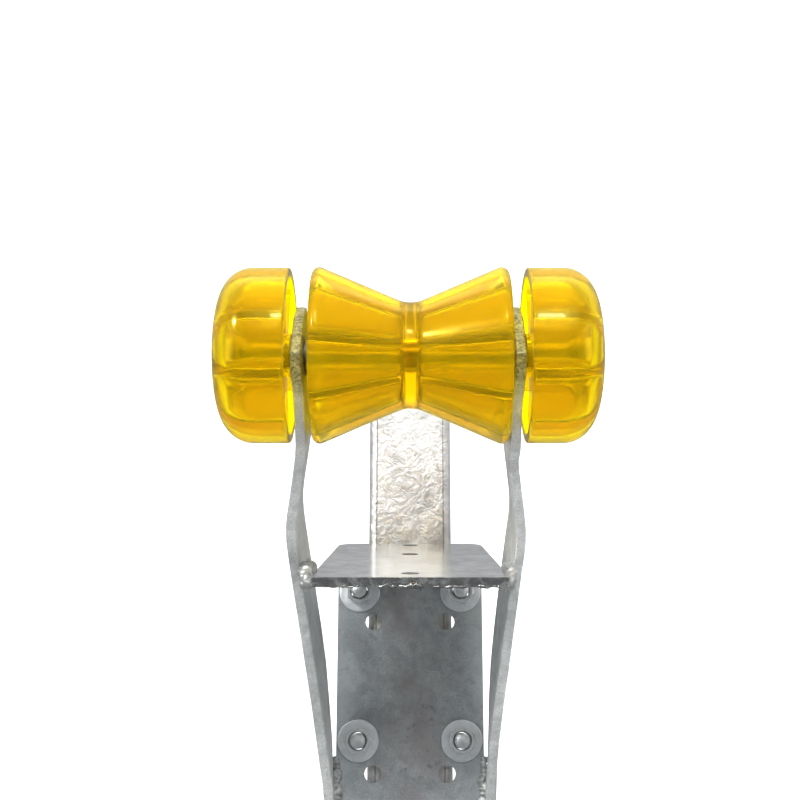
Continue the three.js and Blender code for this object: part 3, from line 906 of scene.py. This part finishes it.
def build_ubolt(row, row_y):
    around = 40
    path = ubolt_path(row_y)
    upward = Vector((0, 1, 0))
    rings = []
    for i, (point, tangent, distance) in enumerate(path):
        sideways = upward.cross(tangent).normalized()
        hand = 1 if i < len(path) / 2 else -1
        ring = []
        for k in range(around):
            turn = 2 * math.pi * k / around
            radius = thread_radius(distance, turn, hand)
            ring.append(
                point
                + sideways * (math.cos(turn) * radius)
                + upward * (math.sin(turn) * radius)
            )
        rings.append(ring)
    make_hardware(
        f"{row}_ubolt_rod", f"{row}_ubolt", loft(rings), NUT_ZINC, angle=50, local=PLATE
    )


for row, row_y in ROWS:
    build_ubolt(row, row_y)

# ---------------------------------------------------------------------------
# Nuts and washers, in the plate's axes
# ---------------------------------------------------------------------------
WASHER_SEAT, WASHER_THICK, WASHER_RADIUS, WASHER_HOLE = 0.35, 1.6, 12.5, 5.15
NUT_SEAT, NUT_HEIGHT, NUT_FLATS, NUT_BORE_RADIUS = 2.3, 8.0, 14.3, 5.05


def closed_loft(rings):
    return loft(rings + [rings[0]], cap=False)


def build_nut(name, node, center_x, center_y, turned):
    """A chamfered hexagon nut, turned by an angle in radians."""
    around = 144
    apothem = NUT_FLATS / 2
    chamfer_radius = apothem * 0.985
    mouth_radius = NUT_BORE_RADIUS + 0.65
    mouth_depth = 0.7
    levels = [  # radius (None: the hexagon), height
        (NUT_BORE_RADIUS, mouth_depth), (NUT_BORE_RADIUS, NUT_HEIGHT - mouth_depth),
        (mouth_radius, NUT_HEIGHT), (chamfer_radius, NUT_HEIGHT), (None, NUT_HEIGHT),
        (None, 0.0), (chamfer_radius, 0.0), (mouth_radius, 0.0),
    ]
    rings = []
    for level_radius, height in levels:
        ring = []
        for i in range(around):
            angle = 2 * math.pi * i / around
            radius, z = level_radius, height
            if radius is None:
                radius = apothem / math.cos((angle - turned) % (math.pi / 3) - math.pi / 6)
                # the chamfer falls away toward the corners
                drop = (radius - chamfer_radius) * math.tan(math.radians(30))
                z = height - drop if height else drop
            ring.append((
                center_x + radius * math.cos(angle),
                center_y + radius * math.sin(angle),
                NUT_SEAT + z,
            ))
        rings.append(ring)
    make_hardware(name, node, closed_loft(rings), NUT_ZINC, angle=28, local=PLATE)


def build_washer(name, node, center_x, center_y, seed):
    around = 96
    face = WASHER_SEAT + WASHER_THICK
    profile = fillet([  # z, radius, corner radius
        (WASHER_SEAT, WASHER_HOLE, 0.2),
        (WASHER_SEAT, WASHER_RADIUS, 0.3),
        (face, WASHER_RADIUS, 0.55),
        (face, WASHER_HOLE, 0.4),
    ], 4)
    rings = []
    for z, radius in profile:
        ring = []
        for i in range(around):
            angle = 2 * math.pi * i / around
            # a stamped, slightly uneven outer edge; the hole stays round
            uneven = 0.006 * math.sin(3 * angle + seed) + 0.004 * math.sin(7 * angle + 2 * seed)
            scale = 1 + (uneven - 0.008) * (radius > 9)
            ring.append((
                center_x + radius * scale * math.cos(angle),
                center_y + radius * scale * math.sin(angle),
                z,
            ))
        rings.append(ring)
    make_hardware(name, node, closed_loft(rings), WASHER_ZINC, angle=30, local=PLATE)


number = 0
for row, row_y in ROWS:
    for side, tag in SIDES:
        number += 1
        spot = f"{row}_{tag}"
        x = side * BOLT_X
        build_washer(f"{spot}_flat_washer", f"{spot}_washer", x, row_y, seed=number * 1.7)
        build_nut(f"{spot}_hex_nut", f"{spot}_nut", x, row_y, turned=0.25 + 0.31 * number)


# ---------------------------------------------------------------------------
# Weld beads, and the zinc that ran along the shelf's front edge
# ---------------------------------------------------------------------------
def even_points(points, spacing):
    """(point, distance) at even spacing along the curve through the points, and its length."""
    curve = [Vector(point) for point in catmull(points, 10)]
    along = [0.0]
    for here, after in zip(curve, curve[1:]):
        along.append(along[-1] + (after - here).length)
    count = int(along[-1] / spacing)
    result = []
    for i in range(count + 1):
        distance = along[-1] * i / count
        j = max(0, min(len(along) - 2, int(np.searchsorted(along, distance)) - 1))
        share = (distance - along[j]) / (along[j + 1] - along[j])
        result.append((curve[j].lerp(curve[j + 1], share), distance))
    return result, along[-1]


def bead(name, points, radii, seed, rough, ripple=0.12, around=18, material=WELD_STEEL):
    """A lumpy bead swept through the points, its radii spread evenly along it."""
    path, length = even_points(points, spacing=0.55)
    rings = []
    for i, (center, distance) in enumerate(path):
        after, before = path[min(len(path) - 1, i + 1)][0], path[max(0, i - 1)][0]
        tangent = (after - before).normalized()
        steep = abs(tangent.z) >= 0.8
        guide = Vector((0.2, -0.95, 0.1)) if steep else Vector((0.3, 0.2, 0.93))
        across = tangent.cross(guide).normalized()
        upward = across.cross(tangent).normalized()
        base = float(np.interp(distance / length, np.linspace(0, 1, len(radii)), radii))
        # rounded ends
        inward = min(1.0, min(distance, length - distance) / max(0.3, base * 0.9))
        end = min(1.0, math.sqrt(max(0.0, 1 - (1 - inward) ** 2)) + 0.02)
        ring = []
        for k in range(around):
            turn = 2 * math.pi * k / around
            outward = across * math.cos(turn) + upward * math.sin(turn)
            spot = center + outward * base
            swell = 1 + rough * noise.noise(spot * 0.42 + Vector((seed, 0, 0))) * 2
            swell += rough * 0.7 * noise.noise(spot * 1.1 + Vector((0, seed, 0)))
            swell += ripple * math.sin(
                distance * 2 * math.pi / 2.6 + seed + 0.6 * math.sin(turn)
            )
            ring.append(center + outward * (base * end * swell))
        rings.append(ring)
    return make(name, loft(rings), "bracket", material)


SHELF_BEADS = {  # by side: path of (x, y, z) round the shelf's front corner, radii
    -1: (
        [(-52.6, 24, -112.6), (-53.6, 17, -112.4), (-54.4, 9, -112.9),
         (-54.4, 2, -114.2), (-53.4, -4, -116.4), (-52.4, -7.5, -118.2)],
        [2.2, 3.6, 4.0, 3.7, 3.0, 1.8],
    ),
    1: (
        [(51.4, 24, -112.8), (52.0, 17, -112.6), (52.6, 9, -112.9),
         (52.9, 2, -114.0), (52.5, -4, -116.2), (51.9, -7.5, -118.2)],
        [1.8, 2.6, 3.0, 3.1, 2.7, 1.8],
    ),
}
PLATE_WELD_X = 44.3
PLATE_WELD_RADII = [3.0, 3.4, 2.9, 3.5, 3.0, 2.6, 2.2, 1.8]


def build_plate_weld(side, tag):
    """Plate to arm, up the front corner between them."""
    points = []
    for i, up_plate in enumerate(np.linspace(-90, -53, 9)):
        point = PLATE @ Vector((side * PLATE_WELD_X, up_plate, 1.0))
        points.append((point.x + side * 0.1 * math.sin(i * 2.1), point.y, point.z))
    bead(f"{tag}_plate_weld", points, PLATE_WELD_RADII, seed=3.1 * side + 5, rough=0.5)


def build_shelf_welds(side, tag):
    """Shelf to arm: a fat bead round the shelf's front corner, and a thinner one under it."""
    path, radii = SHELF_BEADS[side]
    weld = bead(
        f"{tag}_shelf_bead", path, radii,
        seed=1.7 * side + 9, rough=0.22, ripple=0.05, around=22,
    )
    # the frame may not have a CAD weld here
    if f"{tag}_shelf_weld" in NODES:
        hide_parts(f"{tag}_shelf_weld")
    under = [(x, y + 2, z - 6.5) for x, y, z in path[:4]]
    bead(
        f"{tag}_shelf_bead_under", under, [radius * 0.8 for radius in radii[:4]],
        seed=2.3 * side + 21, rough=0.3, ripple=0.06,
    )


DRIPS = [  # first x, last x, radius, height above SHELF_TOP
    (-17, -7, 1.0, -4.6),
    (-6, 9, 1.35, -4.4),
    (12, 30, 0.8, -4.9),
    (-46, -22, 0.6, -4.9),
    (34, 47, 0.7, -4.8),
]
DRIP_SWELL = (0.5, 1, 0.8, 1.15, 0.7, 1, 0.4)  # share of the radius, along a drip


def build_drips():
    for i, (first, last, radius, height) in enumerate(DRIPS):
        points = [
            (x, SHELF_FRONT + 0.35, SHELF_TOP + height + 0.25 * math.sin(x * 0.9))
            for x in np.linspace(first, last, 7)
        ]
        bead(
            f"shelf_drip_{i}", points, [radius * share for share in DRIP_SWELL],
            seed=40 + i * 3.3, rough=0.6, ripple=0.05, around=12, material=DRIP_ZINC,
        )


for side, tag in SIDES:
    build_plate_weld(side, tag)
    build_shelf_welds(side, tag)
build_drips()


# ---------------------------------------------------------------------------
# Studio, in metres: pale floor curving up into a backdrop, soft light, camera
# ---------------------------------------------------------------------------
def build_floor():
    level = CAD_BOX[0].z - 0.0005
    front, curve_start, curve_radius, top, half_width = -6.0, 1.6, 1.4, 7.0, 8.0
    profile = [(front, 0.0), (curve_start, 0.0)]  # y, height
    for i in range(1, 17):
        turn = i / 16 * math.pi / 2
        profile.append((
            curve_start + curve_radius * math.sin(turn),
            curve_radius * (1 - math.cos(turn)),
        ))
    profile.append((curve_start + curve_radius, top))
    verts = []
    for y, z in profile:
        verts += [(-half_width, y, z + level), (half_width, y, z + level)]
    faces = [(2 * i, 2 * i + 1, 2 * i + 3, 2 * i + 2) for i in range(len(profile) - 1)]
    mesh = bpy.data.meshes.new("studio_floor")
    mesh.from_pydata(verts, [], faces)
    smooth_all(mesh)
    obj = add_object("studio_floor", mesh)
    mat = new_material("studio_pale")
    cloud = mat.noise(scale=1.2, detail=3, rough=0.5)
    color = mat.ramp(cloud, [(0.3, (0.86, 0.86, 0.86)), (0.7, (0.9, 0.9, 0.9))])
    mat.surface(Base_Color=color, Roughness=0.85)
    mesh.materials.append(mat.owner)
    obj.visible_glossy = False


def build_world():
    """Soft surround: bright overhead, dimmer toward the camera and below."""
    world = bpy.data.worlds.new("studio_world")
    SCENE.world = world
    sky = Nodes(world, space="Generated")
    _, y, z = sky.axes()
    by_height = sky.ramp(sky.remap(z, over=(-1, 1)), [  # from straight down to straight up
        (0.0, (0.30, 0.31, 0.33)),
        (0.45, (0.26, 0.27, 0.29)),
        (0.6, (0.42, 0.43, 0.45)),
        (0.8, (0.85, 0.86, 0.88)),
        (1.0, (1.0, 1.0, 1.0)),
    ])
    by_depth = sky.ramp(sky.remap(y, over=(-1, 1)), [  # from front to back
        (0.0, (0.62, 0.62, 0.62)),
        (0.5, (0.85, 0.85, 0.85)),
        (1.0, (1.0, 1.0, 1.0)),
    ])
    background = sky.tree.nodes["Background"]
    sky.feed(background.inputs["Color"], sky.mix(1.0, by_height, by_depth, "MULTIPLY"))
    background.inputs["Strength"].default_value = 1.0


def area(name, at, target, size, power, diffuse=True, glossy=True):
    light = bpy.data.lights.new(name, "AREA")
    light.shape = "RECTANGLE"
    light.size, light.size_y = size
    light.energy = power
    obj = add_object(name, light)
    obj.location = at
    obj.rotation_mode = "QUATERNION"
    obj.rotation_quaternion = (Vector(target) - Vector(at)).to_track_quat("-Z", "Y")
    obj.visible_diffuse, obj.visible_glossy = diffuse, glossy


def sparkle(name, direction, size, power):
    """A crisp highlight on glossy surfaces only, aimed at the axle."""
    at = tuple(AXLE + Vector(direction) * 1.3)
    area(name, at=at, target=tuple(AXLE), size=size, power=power, diffuse=False)


def build_lights():
    area("key_softbox", at=(0.2, -1.1, 1.3), target=(0, 0, 0.05), size=(1.0, 0.7),
         power=26, glossy=False)
    area("fill_left", at=(-1.6, -0.9, 0.4), target=(0, 0, 0), size=(1.1, 1.1), power=5)
    area("fill_right", at=(1.6, -0.8, 0.5), target=(0, 0, 0), size=(1.1, 1.1), power=5)
    area("backdrop_light", at=(0, 1.2, 2.6), target=(0, 2.9, 0.6), size=(3.0, 1.0),
         power=150, glossy=False)
    sparkle("sparkle_top", direction=(0.05, -0.64, 0.77), size=(0.34, 0.12), power=8)
    sparkle("sparkle_left", direction=(-0.67, -0.48, 0.57), size=(0.16, 0.10), power=18)


def build_camera():
    """Level, looking along +Y from in front of the axle."""
    distance, below_axle = 0.677, 0.0169
    data = bpy.data.cameras.new("camera")
    data.sensor_width = 36.0
    data.lens = 58.5
    data.shift_x, data.shift_y = -0.0125, -0.015
    data.clip_start, data.clip_end = 0.01, 50
    camera = add_object("camera", data)
    camera.location = (AXLE.x, AXLE.y - distance, AXLE.z - below_axle)
    camera.rotation_euler = (math.radians(90), 0, 0)
    SCENE.camera = camera


build_floor()
build_world()
build_lights()
build_camera()
SCENE.view_settings.view_transform = "Standard"
SCENE.view_settings.look = "None"
